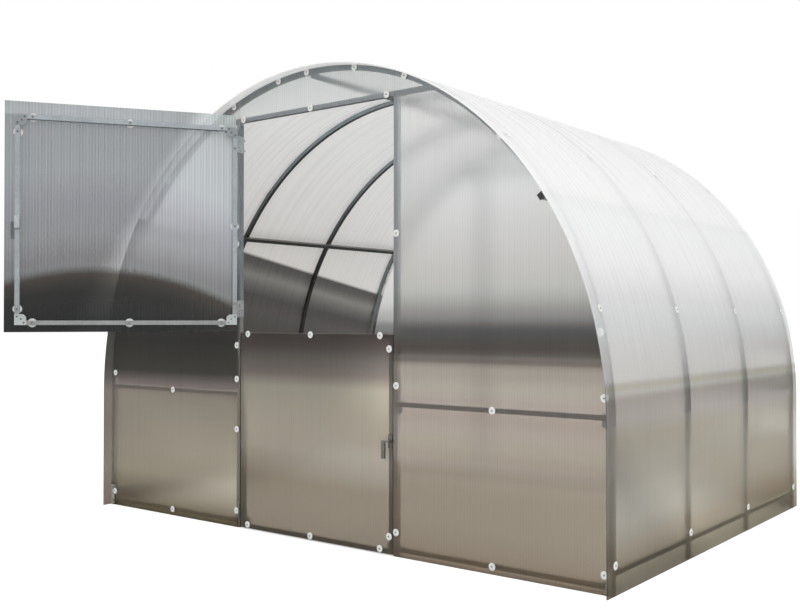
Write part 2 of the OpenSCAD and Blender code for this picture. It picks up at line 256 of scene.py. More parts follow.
# Outdoors some bars catch more light than a plain studio gives them. Their tones are drawn paler instead:
# the door posts, the right legs and the bottom rails here, and the upper leaf's tube and plates below.
post_tube = zinc("galvanised_post_tube", *TUBE_SKIN, "#82888c", "#7c776f", "#dcdcd6", "#3c3e3e", lit=1.8)
low_tube = zinc("galvanised_bottom_rail", *TUBE_SKIN, "#a7a197", "#a7a197", "#dcdcd6", "#6c6a66")
# The bars inside are drawn dark low down, in the shade, and lighter near the roof.
inner_tube = zinc("galvanised_tube_inside", *TUBE_SKIN, "#949da2", "#343331", "#8a8c88", "#2c2d2d", (1.4, 1.95))
galvanised_plate = zinc("galvanised_fixing_plate", *PLATE_SKIN, "#a6abac", "#9d9b94", "#d5d7d4", "#5a5d5e")
zinc_hinge = zinc("zinc_plated_hinge", *HINGE_SKIN, "#b0b6b8", "#6f6d67", "#c4c7c6", "#5a5d5e")
# The corner plates are painted paler low down, and the leaf's tube paler all over, as painted light.
corner_plate = zinc("corner_plate_painted_light", *PLATE_SKIN, "#8f9597", "#d3d7d6", "#d5d7d4", "#6a6d6e")
leaf_tube = zinc("galvanised_leaf_tube_painted_light", *TUBE_SKIN, "#a0a6aa", "#8c8b84", "#c0c2c0", "#4d5052")

# %% [markdown]
# ## Latch metal
# A die-cast zinc latch, plated and handled, darker than the tube and smoother.

# %% Latch metal
# The casting is cloudy, in patches about a centimetre across.
latch_metal, tree = new_finish("die_cast_latch")
place = add(tree, "ShaderNodeTexCoord").outputs["Object"]
cast = add(tree, "ShaderNodeTexNoise", {"Vector": place, "Scale": 90.0, "Detail": 3.0}).outputs["Fac"]
tone = add(tree, "ShaderNodeValToRGB", {"Fac": cast}, stops=((0.3, "#5f605a"), (0.7, "#77776f")))
rough = add(tree, "ShaderNodeMapRange", {"Value": cast, "To Min": 0.3, "To Max": 0.5}).outputs[0]
bump = add(tree, "ShaderNodeBump", {"Height": cast, "Strength": 0.15, "Distance": 0.0004}).outputs[0]
skin = add(tree, "ShaderNodeBsdfPrincipled", {
    "Base Color": tone.outputs[0], "Metallic": 0.7, "Roughness": rough, "Normal": bump})
add(tree, "ShaderNodeOutputMaterial", {"Surface": skin.outputs[0]})
print(latch_metal.name, "is ready")

# %% [markdown]
# ## Twin-wall polycarbonate
# Two thin walls with ribs between them, extruded as one sheet, so that flutes run the length of it:
# upright in the gables and the door, round the hoops on the roof. It lets light through but spreads
# it sideways across the flutes, so that a bar close behind the sheet shows and one further off
# blurs away. The shader is a milky skin mixed with a clear part that spreads the view. Outdoors such
# sheet shows the ground and trees behind it as brown and dark zones with soft edges. A plain studio has
# none of that, so the zones are put into the finish as tones by height. They are scenery, not a property
# of the sheet, and they stay on it from every side: the far half of the roof is dark from outside too.

# %% Tones that follow the height
FAR_LEAN = (0.0, 0.167)  # beyond the ridge, the lines of equal tone fall towards the back


def by_height(tree, laid, steps, tilt, bow):
    """The colour of each height, along a line that may tilt and curve."""
    height = add(tree, "ShaderNodeVectorMath", {0: laid, 1: (*tilt, 1.0)}, operation="DOT_PRODUCT").outputs["Value"]
    if bow:
        sideways = add(tree, "ShaderNodeSeparateXYZ", {0: laid}).outputs["X"]
        square = add(tree, "ShaderNodeMath", {0: sideways, 1: 2.0}, operation="POWER").outputs[0]
        height = add(tree, "ShaderNodeMath", {0: square, 1: bow, 2: height}, operation="MULTIPLY_ADD").outputs[0]
    low, high = steps[0][0], steps[-1][0]
    rise = add(tree, "ShaderNodeMapRange", {"Value": height, "From Min": low, "From Max": high}).outputs[0]
    stops = [((z - low) / (high - low), colour) for z, colour in steps]
    return add(tree, "ShaderNodeValToRGB", {"Fac": rise}, stops=stops).outputs[0]


print("far tones fall", FAR_LEAN[1], "m for each metre back")

# %% Ribs and drawn streaks
# Real ribs are 6 mm apart, drawn at 13 mm so that they show.
FLUTE = 0.013
WAVE_SCALE = math.pi / 10 / FLUTE  # a wave of scale s repeats every pi / 10 s metres


def ribbing(tree, laid, across, ridge, dark_streak):
    """The ribs and the streaks along them, and how much the two together darken the sheet."""
    ribs = add(tree, "ShaderNodeTexWave", {
        "Vector": laid, "Scale": WAVE_SCALE}, bands_direction=across).outputs["Fac"]
    # The die that the sheet is drawn through leaves long streaks along the ribs, here about 11 mm wide.
    stretch = (90.0, 3.0, 0.7) if across == "X" else (0.7, 90.0, 0.7)
    drawn = add(tree, "ShaderNodeMapping", {"Vector": laid, "Scale": stretch}).outputs[0]
    streaks = add(tree, "ShaderNodeTexNoise", {
        "Vector": drawn, "Scale": 1.0, "Detail": 3.0, "Roughness": 0.6}).outputs["Fac"]
    line = add(tree, "ShaderNodeMapRange", {"Value": ribs, "To Min": ridge, "To Max": 1.03}).outputs[0]
    streak = add(tree, "ShaderNodeMapRange", {
        "Value": streaks, "From Min": 0.3, "From Max": 0.7, "To Min": dark_streak, "To Max": 1.02}).outputs[0]
    shade = add(tree, "ShaderNodeMath", {0: line, 1: streak}, operation="MULTIPLY").outputs[0]
    return ribs, streaks, shade


print("ribs every", FLUTE * 1000, "mm, a wave scale of", round(WAVE_SCALE, 2))

# %% The clear and the milky part of the sheet
SHEET_IOR = 1.58  # polycarbonate
CLEAR_IOR = 1.2  # two thin walls bend a look less than solid sheet would


def clear_part(tree, colour, spread):
    """What gets through: light passes straight, but a look through the ribs is spread."""
    # Light crosses two walls, so each lets through the root of the tone.
    passed = add(tree, "ShaderNodeGamma", {"Color": colour, "Gamma": 0.5}).outputs[0]
    ray = add(tree, "ShaderNodeLightPath").outputs
    looked = add(tree, "ShaderNodeMath", {
        0: ray["Is Camera Ray"], 1: ray["Is Transmission Ray"]}, operation="MAXIMUM").outputs[0]
    straight = add(tree, "ShaderNodeBsdfTransparent", {"Color": linear("#ffffff")}).outputs[0]
    bent = add(tree, "ShaderNodeBsdfRefraction", {"Color": passed, "Roughness": spread, "IOR": CLEAR_IOR}).outputs[0]
    return add(tree, "ShaderNodeMixShader", {0: looked, 1: straight, 2: bent}).outputs[0]


def milky_part(tree, colour, ribs, streaks):
    """The glossy surface of polycarbonate over a body that glows a little with the light behind it."""
    bump = add(tree, "ShaderNodeBump", {"Height": ribs, "Strength": 0.4, "Distance": 0.0006}).outputs[0]
    rough = add(tree, "ShaderNodeMapRange", {"Value": streaks, "To Min": 0.22, "To Max": 0.34}).outputs[0]
    skin = add(tree, "ShaderNodeBsdfPrincipled", {
        "Base Color": colour, "Roughness": rough, "IOR": SHEET_IOR, "Normal": bump}).outputs[0]
    glow = add(tree, "ShaderNodeBsdfTranslucent", {"Color": colour, "Normal": bump}).outputs[0]
    return add(tree, "ShaderNodeMixShader", {0: 0.3, 1: skin, 2: glow}).outputs[0]


print("the skin has an IOR of", SHEET_IOR, "and the clear part", CLEAR_IOR)


# %% Twin-wall sheet
def twin_wall(name, tones, across, hung=(0.0, 0.0, 0.0), turn=0.0, lean=(0.0, 0.0), bow=0.0,
              far_tones=None, fade=None, crest=None, ridge=0.95, dark_streak=0.97,
              milk=0.14, haze=None, spread=0.45):
    """Fluted sheet, with tones as heights in metres and colours, and across as the axis its ribs cross.

    hung and turn are the pin and the angle of a leaf that stands open. lean tilts the lines of equal
    tone, and bow curves them. far_tones are for the half of the building beyond the ridge. fade is a
    direction, a start and an end along it, and how far the sheet dims between them. crest is a height
    above which the sheet is lighter, and by how much. ridge and dark_streak are how dark the ribs and
    the finer drawn streaks go. milk is the share of milky skin, and haze two heights between which it
    changes to another share. spread is how much a look through the sheet is blurred.
    """
    finish, tree = new_finish(name)
    place = add(tree, "ShaderNodeTexCoord").outputs["Object"]
    laid = add(tree, "ShaderNodeMapping", {
        "Vector": place, "Location": hung, "Rotation": (0, 0, turn)}, vector_type="TEXTURE").outputs[0]
    spot = add(tree, "ShaderNodeSeparateXYZ", {0: laid}).outputs
    tint = by_height(tree, laid, tones, lean, bow)
    if far_tones:
        far = add(tree, "ShaderNodeMapRange", {
            "Value": spot["X"], "From Min": mid_x, "From Max": mid_x - SEAM}).outputs[0]
        beyond = by_height(tree, laid, far_tones, FAR_LEAN, bow)
        tint = add(tree, "ShaderNodeMix", {0: far, 6: tint, 7: beyond}, data_type="RGBA").outputs[2]
    ribs, streaks, shade = ribbing(tree, laid, across, ridge, dark_streak)
    if fade:
        direction, start, stop, dim = fade
        along = add(tree, "ShaderNodeVectorMath", {0: laid, 1: direction}, operation="DOT_PRODUCT").outputs["Value"]
        side = add(tree, "ShaderNodeMapRange", {
            "Value": along, "From Min": start, "From Max": stop, "To Min": 1.0, "To Max": dim},
            interpolation_type="SMOOTHSTEP").outputs[0]
        shade = add(tree, "ShaderNodeMath", {0: shade, 1: side}, operation="MULTIPLY").outputs[0]
    if crest:
        edge, lighter = crest
        gain = add(tree, "ShaderNodeMapRange", {
            "Value": spot["Z"], "From Min": edge - 0.006, "From Max": edge + 0.006,
            "To Min": 1.0, "To Max": lighter}).outputs[0]
        shade = add(tree, "ShaderNodeMath", {0: shade, 1: gain}, operation="MULTIPLY").outputs[0]
    colour = add(tree, "ShaderNodeVectorMath", {0: tint, "Scale": shade}, operation="SCALE").outputs[0]
    share = milk
    if haze:
        low, high, milk_above = haze
        share = add(tree, "ShaderNodeMapRange", {
            "Value": spot["Z"], "From Min": low, "From Max": high, "To Min": milk, "To Max": milk_above}).outputs[0]
    sheet = add(tree, "ShaderNodeMixShader", {
        0: share, 1: clear_part(tree, colour, spread), 2: milky_part(tree, colour, ribs, streaks)})
    add(tree, "ShaderNodeOutputMaterial", {"Surface": sheet.outputs[0]})
    print(name, "with ribs across", across)
    return finish


# %% Tones of the sheets by height
gable_tones = ((0.0, "#9f9080"), (0.16, "#b0a697"), (0.31, "#b7ad9e"), (0.37, "#c4b9ab"), (0.42, "#f0e8e0"),
               (0.47, "#f1eee6"), (0.55, "#ece5e4"), (0.66, "#c8c0bb"), (0.72, "#ccc9bf"), (0.785, "#d8d4cd"),
               (0.803, "#c3beb7"), (0.816, "#938c89"), (0.832, "#9e9a98"), (0.846, "#7e7c78"), (0.87, "#787070"),
               (0.91, "#878986"), (0.945, "#939194"), (0.965, "#a7a6a4"), (0.985, "#b9b9ba"), (1.02, "#c0bfbd"),
               (1.1, "#dbdcda"), (1.25, "#e5e3e1"), (1.5, "#ebecec"), (1.85, "#fbfbfb"), (2.1, "#e6ebea"))
leaf_tones = ((0.0, "#a3998b"), (0.25, "#b5aa9b"), (0.4, "#e9e3d9"), (0.6, "#f8f3e5"), (0.68, "#fbf7e8"),
              (0.74, "#cabfba"), (0.8, "#b6b1ac"), (0.86, "#948b89"), (0.92, "#807574"))
left_tones = ((0.0, "#6f6449"), (0.2, "#ece5d6"), (0.33, "#ece6da"), (0.5, "#e0dbcf"), (0.6, "#e1dbce"),
              (0.66, "#d1c7c7"), (0.72, "#858480"), (0.88, "#747370"), (1.05, "#8b8987"), (1.15, "#a4a5a3"),
              (1.3, "#e6e6e5"), (2.1, "#efefef"))
roof_tones = ((0.0, "#afa896"), (0.1, "#c5bca9"), (0.15, "#d8cdbc"), (0.25, "#efece1"), (0.35, "#f3f1e8"),
              (0.45, "#eae9e2"), (0.55, "#dbd9cf"), (0.62, "#dbd9d7"), (0.66, "#d4d2cf"), (0.69, "#d0cdc8"),
              (0.715, "#eaede9"), (0.735, "#dfddd0"), (0.745, "#e4e4e1"), (0.76, "#fbfbfb"), (0.82, "#fbfbfb"),
              (0.87, "#fbfbfb"), (0.96, "#f6f9f9"), (1.06, "#f3f3f5"), (1.2, "#fafafb"), (1.443, "#f7f8f8"),
              (1.455, "#f5f7f7"), (1.463, "#fbfbfb"), (1.5, "#fbfbfb"), (2.1, "#fbfbfb"))
far_tones = ((0.0, "#a6978f"), (0.2, "#aca799"), (0.4, "#a1998e"), (0.6, "#8f8884"), (0.68, "#666460"),
             (0.74, "#5a5855"), (0.85, "#56544f"), (1.1, "#5a5955"), (1.19, "#676462"), (1.28, "#5f5b5c"),
             (1.34, "#807e7b"), (1.39, "#9c9a96"), (1.45, "#716e6c"), (1.485, "#676463"), (1.5, "#f0eeec"),
             (2.1, "#fbfbfb"))
upper_tones = ((0.8, "#373a3b"), (0.95, "#50514e"), (1.02, "#716b66"), (1.06, "#c6c9ca"), (1.1, "#c9c8cb"),
               (1.2, "#dbdee1"), (1.35, "#e1e3ea"), (1.5, "#eef3f7"), (1.75, "#e9edf1"), (1.95, "#c4cdc9"))
print("tones of", len(gable_tones), "heights on the gable and", len(roof_tones), "on the roof")

# %% The five kinds of sheet
hang = next(j for j in frame["joints"] if j["name"] == "upper_leaf_hinge")
opened = math.radians(hang["range_deg"][1])
pin = Vector(hang["pos_m"])
front_clear = twin_wall("twin_wall_gable", gable_tones, "X", spread=0.28)
left_clear = twin_wall("twin_wall_left_gable", left_tones, "X")
lower_clear = twin_wall("twin_wall_lower_leaf", leaf_tones, "X")
upper_clear = twin_wall(
    "twin_wall_upper_leaf", upper_tones, "X", hung=(pin.x, pin.y, 0.0), turn=-opened, lean=(-0.55, 0.0),
    bow=0.45, fade=((1.0, 0.0, 0.55), 1.14, 1.3, 0.5), crest=(1.888, 1.35), ridge=0.84, dark_streak=0.9,
    milk=0.6, haze=(0.95, 1.15, 0.36), spread=0.1)
roof_clear = twin_wall(
    "twin_wall_roof", roof_tones, "Y", far_tones=far_tones, fade=((0.0, 1.0, 1.5), 1.0, 0.55, 0.68),
    ridge=0.98, dark_streak=0.96, haze=(0.7, 1.4, 0.8))

# %% [markdown]
# ## Dressing the steel and the sheets
# Each part of the construction model gets the finish that it has on the real one: tube for the bars,
# bright plate for the brackets, fluted sheet for the skin.

# %% Finishes on the construction model
plates = ("leg_splices", "front_brackets", "rear_brackets", "side_brackets")
inside = ("second_arch", "third_arch", "left_purlin")
special = {
    "roof_sheet": roof_clear, "front_sheet_left": left_clear, "front_sheet_right": front_clear,
    "front_sheet_top": front_clear, "rear_sheet": front_clear,
    "upper_leaf_sheet": upper_clear, "lower_leaf_sheet": lower_clear,
}
for name, part in steel.items():
    if name in special:
        finish = special[name]
    elif name.endswith("gussets"):
        finish = corner_plate
    elif name in plates:
        finish = galvanised_plate
    elif name.endswith("hinges") or name == "upper_leaf_latch":
        finish = zinc_hinge
    elif name.endswith("latch"):
        finish = latch_metal
    elif name in inside:
        finish = inner_tube
    elif name in ("front_posts", "right_legs"):
        finish = post_tube
    elif name == "front_bottom_rails":
        finish = low_tube
    elif name.startswith("upper_leaf"):
        finish = leaf_tube
    else:
        finish = galvanised_tube
    for slot in part.material_slots:
        slot.material = finish
metals = (galvanised_tube, post_tube, low_tube, inner_tube, leaf_tube, galvanised_plate, corner_plate,
          zinc_hinge, latch_metal)
print({f.name: sum(p.material_slots[0].material == f for p in steel.values()) for f in metals})

# %% [markdown]
# ## Plastics and small hardware
# The sheets are held by self-drilling screws under moulded polycarbonate washers, white and slightly
# glossy, with a domed rim that spreads the load. Screws and bolts are zinc plated and look dark
# against the white. Black polyethylene caps close the ends of the side purlins.

# %% Plastics and screw steel
def plain_finish(name, light, dark, scale, metallic, roughness, depth):
    """A moulded or plated finish: two close tones, mottled at a scale, with a fine uneven skin."""
    finish, tree = new_finish(name)
    place = add(tree, "ShaderNodeTexCoord").outputs["Object"]
    grain = add(tree, "ShaderNodeTexNoise", {"Vector": place, "Scale": scale, "Detail": 3.0}).outputs["Fac"]
    tone = add(tree, "ShaderNodeValToRGB", {"Fac": grain}, stops=((0.35, dark), (0.65, light))).outputs[0]
    rough = add(tree, "ShaderNodeMapRange", {
        "Value": grain, "To Min": roughness - 0.07, "To Max": roughness + 0.07}).outputs[0]
    bump = add(tree, "ShaderNodeBump", {"Height": grain, "Strength": 0.15, "Distance": depth}).outputs[0]
    skin = add(tree, "ShaderNodeBsdfPrincipled", {
        "Base Color": tone, "Metallic": metallic, "Roughness": rough, "Normal": bump})
    add(tree, "ShaderNodeOutputMaterial", {"Surface": skin.outputs[0]})
    return finish


# Scale counts the mottles in a metre: 8 mm ones on a washer, and 2.5 mm ones on a screw. They are finer
# on the real ones, and drawn this coarse so that they show.
washer_plastic = plain_finish("moulded_polycarbonate_washer", "#dfe0de", "#cbccca", 120.0, 0.0, 0.4, 0.0003)
screw_steel = plain_finish("zinc_plated_screw", "#8b8b88", "#6a6a67", 400.0, 0.7, 0.4, 0.0002)
dark_screw = plain_finish("weathered_screw", "#4c4c4a", "#383836", 400.0, 0.6, 0.45, 0.0002)
cap_plastic = plain_finish("black_polyethylene_cap", "#262624", "#191918", 150.0, 0.0, 0.5, 0.0003)
print("washers, screws and caps are ready")

# %% [markdown]
# ## Shapes that repeat
# A washer, a screw head and a screw point are turned once on a small lathe, a profile spun round Z.
# Copies are then laid out on a list of spots, each with the direction that it faces, and joined
# into one piece for each body that they ride on.

# %% Lathe and layout
def turned(name, profile, steps):
    """A closed shape: (radius, height) points from the axis and back to it, spun round Z."""
    shape = bmesh.new()
    points = [shape.verts.new((radius, 0, height)) for radius, height in profile]
    edges = [shape.edges.new(pair) for pair in zip(points, points[1:])]
    bmesh.ops.spin(shape, geom=points + edges, cent=(0, 0, 0), axis=(0, 0, 1), angle=2 * math.pi,
                   steps=steps, use_merge=True, use_duplicate=False)
    bmesh.ops.remove_doubles(shape, verts=shape.verts, dist=0.00001)
    bmesh.ops.recalc_face_normals(shape, faces=shape.faces)
    pattern = bpy.data.meshes.new(name)
    shape.to_mesh(pattern)
    shape.free()
    return pattern


def laid_out(pattern, spots):
    """Copies of a pattern, its +Z turned to the direction that each spot faces."""
    shape = bmesh.new()
    for spot, outward in spots:
        start = len(shape.verts)
        shape.from_mesh(pattern)
        shape.verts.ensure_lookup_table()
        turn = Vector(outward).to_track_quat("Z", "X").to_matrix().to_4x4()
        bmesh.ops.transform(shape, matrix=Matrix.Translation(spot) @ turn, verts=shape.verts[start:])
    return shape


def finished(name, shape, finish, body):
    """The piece itself, in its finish, riding on its body."""
    mesh = bpy.data.meshes.new(name)
    shape.to_mesh(mesh)
    shape.free()
    mesh.materials.append(finish)
    piece = bpy.data.objects.new(name, mesh)
    scene.collection.objects.link(piece)
    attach(piece, body)
    print(name, len(mesh.polygons), "faces on", body)


print("the lathe and the layout are ready")

# %% Washer, screw and seal
# A profile runs from the axis out along the base, and back over the top, in metres.
WASHER_R, SEAL_R = 0.0155, 0.0195
washer = turned("washer", (
    (0, 0.0001), (WASHER_R, 0.0001), (WASHER_R, 0.0011), (0.0142, 0.0021), (0.0105, 0.0029),
    (0.0052, 0.003), (0.0045, 0.0022), (0, 0.0022)), 16)
screw = turned("screw", ((0, 0.0021), (0.0037, 0.0021), (0.0037, 0.0027), (0.0028, 0.003), (0, 0.003)), 6)
tip = turned("tip", ((0, 0), (0.0045, 0), (0.0045, 0.001), (0.0028, 0.001), (0.0028, 0.005), (0, 0.0095)), 8)
seal = turned("seal", ((0, 0), (SEAL_R, 0), (SEAL_R, 0.0008), (0, 0.0008)), 20)
print("washer of", 2 * WASHER_R * 1000, "mm and seal of", 2 * SEAL_R * 1000, "mm")

# %% [markdown]
# ## Where the fixings go
# Every spot is measured from the steel that holds the sheet: the middle of a rail, a post or a hoop,
# or the side of a leg. Their heights and angles are nearly even but not quite, so they are listed
# one by one.

# %% Measures of the frame
HALF_TUBE = 0.01
SHEET_T = 0.004


def centre(node):
    """Middle of a part's box."""
    low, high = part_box(node)
    return (low + high) / 2


roof_low, roof_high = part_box("roof_sheet")
roof_r = (roof_high.x - roof_low.x) / 2
axis_z = roof_high.z - roof_r
hoops = [centre(n).y for n in ("front_arch", "second_arch", "third_arch", "rear_arch")]
front_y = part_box("front_sheet_left")[0].y
rear_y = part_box("rear_sheet")[1].y
arch_low, arch_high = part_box("front_arch")
tube_r = (arch_high.x - arch_low.x) / 2 - HALF_TUBE
print("roof radius", round(roof_r, 4), "hoops at", [round(y, 3) for y in hoops])

# %% Washers on the gables
# Beside the legs, out along the rails, and a few millimetres off the middle of each door post, in metres.
LEG_IN, RAIL_OUT = 0.022, 0.98
LEFT_POST_OFF, RIGHT_POST_OFF = 0.0072, 0.0045
# Degrees along the hoop, from its right foot.
HOOP_ANGLES = (13, 26, 47, 68.9, 80.1, 91.3, 98.3, 110.5, 133.1, 154.2, 167)
post_in, post_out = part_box("front_posts")[0].x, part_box("front_posts")[1].x
left_post = post_in + HALF_TUBE - LEFT_POST_OFF
right_post = post_out - HALF_TUBE + RIGHT_POST_OFF
lintel_z, mid_z, low_z = [centre("front_" + bar).z for bar in ("lintel", "mid_rails", "bottom_rails")]
gable = [(mid_x + side * (tube_r - LEG_IN), z) for side in (-1, 1) for z in (0.072, 0.7)]
gable += [(mid_x + side * RAIL_OUT, z) for side in (-1, 1) for z in (low_z, mid_z)]
gable += [(mid_x + x, lintel_z) for x in (-0.455, -0.01, 0.44)]
gable += [(mid_x + tube_r * math.cos(a), axis_z + tube_r * math.sin(a)) for a in map(math.radians, HOOP_ANGLES)]
front_spots = gable + [(left_post, z) for z in (0.078, 0.462, 0.7, 0.86, 1.34)]
front_spots += [(right_post, z) for z in (0.1, 0.707, 1.34)]
rear_spots = gable + [(x, z) for x in (left_post, right_post) for z in (0.1, 0.7, 1.34)]
rear_spots += [(mid_x, z) for z in (low_z, mid_z)]
washer_spots = [((x, front_y, z), (0, -1, 0)) for x, z in front_spots]
washer_spots += [((x, rear_y, z), (0, 1, 0)) for x, z in rear_spots]
print(len(front_spots), "washers on the front and", len(rear_spots), "on the rear")

# %% Washers on the roof sheet
for y in hoops:
    for side in (-1, 1):
        washer_spots.append(((mid_x + side * roof_r, y, 0.108), (side, 0, 0)))
        for a in map(math.radians, (16.3, 46.5, 76.0)):
            out = Vector((side * math.cos(a), 0, math.sin(a)))
            washer_spots.append((Vector((mid_x, y, axis_z)) + roof_r * out, out))
finished("sheet_washers", laid_out(washer, washer_spots), washer_plastic, "frame")
finished("sheet_screws", laid_out(screw, washer_spots), screw_steel, "frame")
print(len(washer_spots), "washers on the fixed sheets")

# %% [markdown]
# ## Fixings on the two leaves
# The lower leaf hangs shut, so its spots are in place. The upper leaf stands open: its spots are
# noted as if it hung shut, and one matrix swings them about the hinge by the angle that the record
# gives. The points of the screws come through the tube and show on the inner side.

# %% The upper leaf's swing
swing = Matrix.Translation(pin) @ Matrix.Rotation(-opened, 4, "Z") @ Matrix.Translation(-pin)


def shut_box(node):
    """Lowest and highest corner of an upper leaf part as it hangs shut."""
    back = [swing.inverted() @ v.co for v in steel[node].data.vertices]
    return Vector(map(min, zip(*back))), Vector(map(max, zip(*back)))


def swung(spots):
    """Spots on the shut leaf, carried to where it stands open."""
    turn = swing.to_3x3()
    return [(swing @ Vector(spot), turn @ Vector(outward)) for spot, outward in spots]


outer_y = shut_box("upper_leaf_sheet")[0].y
inner_y = shut_box("upper_leaf_stiles")[1].y
rail_low, rail_high = shut_box("upper_leaf_rails")
stile_low, stile_high = shut_box("upper_leaf_stiles")
print("upper leaf from", round(stile_low.x, 3), "to", round(stile_high.x, 3))

# %% Washers and screw points on the leaves
upper = [(mid_x + x, z) for x in (-0.403, 0.0, 0.403) for z in (rail_low.z + HALF_TUBE, rail_high.z - HALF_TUBE)]
upper += [(stile_high.x - HALF_TUBE, z) for z in (1.028, 1.808)] + [(stile_low.x + HALF_TUBE, 1.42)]
faced = swung([((x, outer_y, z), (0, -1, 0)) for x, z in upper])
finished("upper_leaf_washers", laid_out(washer, faced), washer_plastic, "upper_leaf")
finished("upper_leaf_screws", laid_out(screw, faced), screw_steel, "upper_leaf")
seals = swung([((x, outer_y + SHEET_T, z), (0, 1, 0)) for x, z in upper])
finished("upper_leaf_seals", laid_out(seal, seals), washer_plastic, "upper_leaf")
points = swung([((x, inner_y, z), (0, 1, 0)) for x, z in upper])
finished("upper_leaf_screw_points", laid_out(tip, points), screw_steel, "upper_leaf")

low_low, low_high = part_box("lower_leaf_sheet")
frame_low, frame_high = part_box("lower_leaf_stiles")
lower = [(mid_x + x, z) for x in (-0.42, -0.007, 0.405) for z in (frame_low.z + 0.016, frame_high.z - 0.006)]
lower += [(low_high.x - 0.0165, z) for z in (0.078, 0.859)]
faced = [((x, low_low.y, z), (0, -1, 0)) for x, z in lower]
finished("lower_leaf_washers", laid_out(washer, faced), washer_plastic, "lower_leaf")
finished("lower_leaf_screws", laid_out(screw, faced), screw_steel, "lower_leaf")
points = [((x, frame_high.y, z), (0, 1, 0)) for x, z in lower]
finished("lower_leaf_screw_points", laid_out(tip, points), screw_steel, "lower_leaf")

# %% [markdown]
# ## Bolts, nuts and studs
# The frame is sold flat and bolted together. Every bracket has a bolt through each arm, the splices
# join leg to hoop with a bolt and a nut, and the hinges are held by long screws that come out behind
# the door post. They are small, but they catch the light, so each kind is a turned shape laid out
# from the edges of the bars that it holds.

# %% Turned bolts
bolt = turned("bolt", (
    (0, 0), (0.0068, 0), (0.0068, 0.0008), (0.005, 0.0009), (0.005, 0.0034), (0.004, 0.004), (0, 0.004)), 12)
nut = turned("nut", ((0, 0), (0.0058, 0), (0.0058, 0.0038), (0.003, 0.0044), (0.003, 0.0075), (0, 0.008)), 6)
stud = turned("stud", ((0, 0), (0.0024, 0), (0.0024, 0.013), (0, 0.017)), 8)
print(len(bolt.polygons), len(nut.polygons), len(stud.polygons), "faces a bolt, a nut and a stud")

# %% Bolts on the brackets
ARM = 0.021  # from the corner of a bracket to its bolts
PLATE = 0.002  # thickness of a bracket and of a splice plate


def corner_bolts(corner, along, up):
    """A bolt through each arm of a bracket whose corner touches two bars and opens along and up."""
    corner, along, up = Vector(corner), Vector(along), Vector(up)
    return [(corner + ARM * along + PLATE * up, up), (corner + ARM * up + PLATE * along, along)]


leg_in = tube_r - HALF_TUBE
bolts = []
for end in ("front", "rear"):
    y = centre(end + "_posts").y
    rises = [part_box(end + rails)[1].z for rails in ("_mid_rails", "_bottom_rails")]
    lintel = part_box(end + "_lintel")[0].z
    for side in (-1, 1):
        post = mid_x + side * (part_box(end + "_posts")[1].x - mid_x)
        for z in rises:
            bolts += corner_bolts((post, y, z), (side, 0, 0), (0, 0, 1))
            bolts += corner_bolts((mid_x + side * leg_in, y, z), (-side, 0, 0), (0, 0, 1))
        bolts += corner_bolts((post, y, lintel), (side, 0, 0), (0, 0, -1))
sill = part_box("left_base_rails")[1].z
for side in (-1, 1):
    for start, stop in zip(hoops, hoops[1:]):
        bolts += corner_bolts((mid_x + side * tube_r, start + HALF_TUBE, sill), (0, 1, 0), (0, 0, 1))
        bolts += corner_bolts((mid_x + side * tube_r, stop - HALF_TUBE, sill), (0, -1, 0), (0, 0, 1))
finished("bracket_bolts", laid_out(bolt, bolts), corner_plate, "frame")
print(len(bolts), "bolts on brackets")

# %% [markdown]
# ## Splices between leg and hoop
# A leg ends at the foot of its hoop, and a plate on one side with a channel on the other clamps the
# two. The channel follows the first few degrees of the hoop, so it is a small face swept round the
# hoop's own centre.

# %% Splice channels
CHANNEL_W, CHANNEL_T = 0.0196, 0.0016
CHANNEL_UP = 0.03  # where a channel starts above the foot of the hoop
CHANNEL_TURN = math.radians(4.2)

shape = bmesh.new()
for side in (-1, 1):
    for y in hoops[1:-1]:
        rim = bmesh.ops.create_grid(shape, x_segments=1, y_segments=1, size=0.5)["verts"]
        bmesh.ops.scale(shape, vec=(CHANNEL_W, CHANNEL_T, 1), verts=rim)
        lay_on = (mid_x + side * tube_r, y - HALF_TUBE - CHANNEL_T / 2, axis_z + CHANNEL_UP)
        bmesh.ops.translate(shape, verts=rim, vec=lay_on)
        face = rim[0].link_faces[0]
        bmesh.ops.spin(shape, geom=list(face.verts) + list(face.edges) + [face], cent=(mid_x, 0, axis_z),
                       axis=(0, 1, 0), angle=-side * CHANNEL_TURN, steps=4, use_merge=False, use_duplicate=False)
bmesh.ops.recalc_face_normals(shape, faces=shape.faces)
print("splice channels closed:", all(edge.is_manifold for edge in shape.edges))
sharp = [e for e in shape.edges if e.is_manifold and e.calc_face_angle() > 1]
bmesh.ops.bevel(shape, geom=sharp, offset=0.0003, offset_type="OFFSET", segments=1, profile=0.5,
                affect="EDGES", material=-1)
finished("splice_channels", shape, galvanised_tube, "frame")


# %% Bolts and nuts of the splices
def on_hoop(side, rise, y):
    """The middle of a hoop's tube at a length above its foot, or straight down its leg where it is negative."""
    a = max(rise, 0) / tube_r
    return Vector((mid_x + side * tube_r * math.cos(a), y, axis_z + tube_r * math.sin(a) + min(rise, 0)))


heads, nuts = [], []
for side in (-1, 1):
    for place, y in enumerate(hoops):
        last = place == len(hoops) - 1
        back = -1 if last else 1
        for rise in (-0.032, 0.052, 0.105):
            spot = on_hoop(side, rise, y)
            nuts.append((spot + Vector((0, back * (HALF_TUBE + PLATE), 0)), (0, back, 0)))
            if 0 < place and not last:
                lift = CHANNEL_T if rise > CHANNEL_UP else 0
                heads.append((spot + Vector((0, -HALF_TUBE - lift, 0)), (0, -1, 0)))
finished("splice_bolts", laid_out(bolt, heads), galvanised_plate, "frame")
finished("splice_nuts", laid_out(nut, nuts), screw_steel, "frame")

